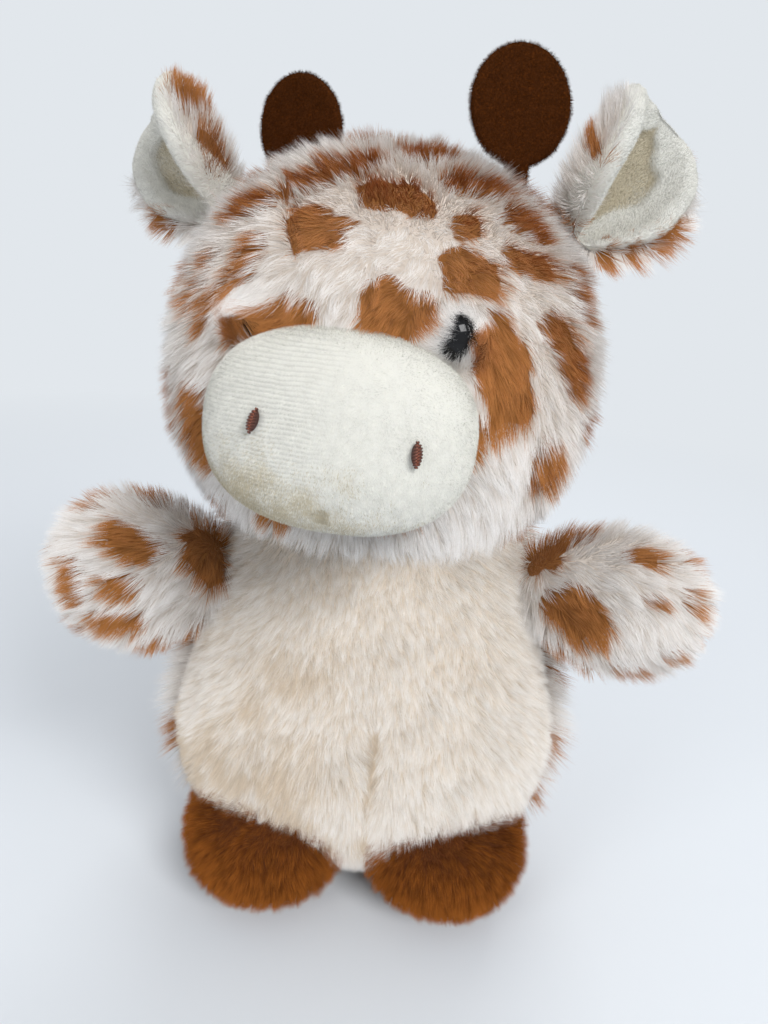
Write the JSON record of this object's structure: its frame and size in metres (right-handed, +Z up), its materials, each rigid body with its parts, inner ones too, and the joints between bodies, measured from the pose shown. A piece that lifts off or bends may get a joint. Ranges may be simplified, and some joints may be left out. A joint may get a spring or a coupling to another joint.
{
  "type": "plush giraffe",
  "caption": "Small plush giraffe with spotted fur, a cream belly, a round muzzle, felt horns, cupped ears and stub arms, standing on two round feet.",
  "frame": {"origin": "middle of the footprint, on the surface that the feet and the seat rest on", "axes": "+Z up, -Y the way the belly faces, +X towards the toy's own left"},
  "size_m": [0.1528, 0.1142, 0.1967],
  "materials": {
    "spotted_fur": "long pile plush, off-white with caramel spots",
    "cream_plush": "short matted cream plush",
    "brown_plush": "short brown plush",
    "velboa": "smooth short-nap knit",
    "felt": "dark brown pressed felt",
    "stitching": "satin stitch",
    "eye_plastic": "polished black",
    "washer_plastic": "moulded white",
    "fibrefill": "white polyester fibre"
  },
  "bodies": {
    "torso": {"belly_panel": "cream_plush", "body_back_left_panel": "spotted_fur", "body_back_right_panel": "spotted_fur", "body_stuffing": "fibrefill", "foot_left_cover": "brown_plush", "foot_left_stuffing": "fibrefill", "foot_right_cover": "brown_plush", "foot_right_stuffing": "fibrefill"},
    "head": {"head_front_cover": "spotted_fur", "head_back_left_cover": "spotted_fur", "head_back_right_cover": "spotted_fur", "head_stuffing": "fibrefill", "muzzle_cover": "velboa", "nostril_left": "stitching", "nostril_right": "stitching", "eye_left": "eye_plastic", "eye_right": "eye_plastic", "eye_washer_left": "washer_plastic", "eye_washer_right": "washer_plastic"},
    "arm_left": {"arm_left_front_cover": "spotted_fur", "arm_left_back_cover": "spotted_fur", "arm_left_stuffing": "fibrefill"},
    "arm_right": {"arm_right_front_cover": "spotted_fur", "arm_right_back_cover": "spotted_fur", "arm_right_stuffing": "fibrefill"},
    "ear_left": {"ear_left_outer": "spotted_fur", "ear_left_lining": "velboa"},
    "ear_right": {"ear_right_outer": "spotted_fur", "ear_right_lining": "velboa"},
    "horn_left": {"horn_left": "felt"},
    "horn_right": {"horn_right": "felt"},
    "tail": {"tail_cover": "spotted_fur", "tail_tuft": "brown_plush"}
  },
  "joints": [
    {"name": "head_turn", "type": "hinge", "parent": "torso", "child": "head", "pos_m": [-0.00183, -0.00194, 0.1], "axis": [0, 0, 1], "range_deg": [-20, 20], "stiffness_Nm_per_rad": 0.05},
    {"name": "arm_left_swing", "type": "hinge", "parent": "torso", "child": "arm_left", "pos_m": [0.03444, -0.01709, 0.089], "axis": [0, 0, -1], "range_deg": [-30, 30], "stiffness_Nm_per_rad": 0.01},
    {"name": "arm_right_swing", "type": "hinge", "parent": "torso", "child": "arm_right", "pos_m": [-0.03446, -0.01709, 0.0855], "axis": [0, 0, 1], "range_deg": [-30, 30], "stiffness_Nm_per_rad": 0.01},
    {"name": "ear_left_flop", "type": "hinge", "parent": "head", "child": "ear_left", "pos_m": [0.03557, -0.00275, 0.1603], "axis": [0.8087, 0.2783, -0.5182], "range_deg": [-18, 18], "stiffness_Nm_per_rad": 0.004},
    {"name": "ear_right_flop", "type": "hinge", "parent": "head", "child": "ear_right", "pos_m": [-0.03839, 0.00987, 0.15908], "axis": [0.607, -0.512, 0.6077], "range_deg": [-18, 18], "stiffness_Nm_per_rad": 0.004},
    {"name": "horn_left_bend", "type": "hinge", "parent": "head", "child": "horn_left", "pos_m": [0.02274, 0.00072, 0.17083], "axis": [0.9884, 0.151, 0.0136], "range_deg": [-15, 15], "stiffness_Nm_per_rad": 0.003},
    {"name": "horn_right_bend", "type": "hinge", "parent": "head", "child": "horn_right", "pos_m": [-0.02225, 0.02266, 0.16543], "axis": [0.8868, -0.3932, 0.2427], "range_deg": [-15, 15], "stiffness_Nm_per_rad": 0.003},
    {"name": "tail_swing", "type": "hinge", "parent": "torso", "child": "tail", "pos_m": [0.00057, 0.04181, 0.044], "axis": [0, 0.9848, 0.1736], "range_deg": [-35, 35], "stiffness_Nm_per_rad": 0.003}
  ]
}
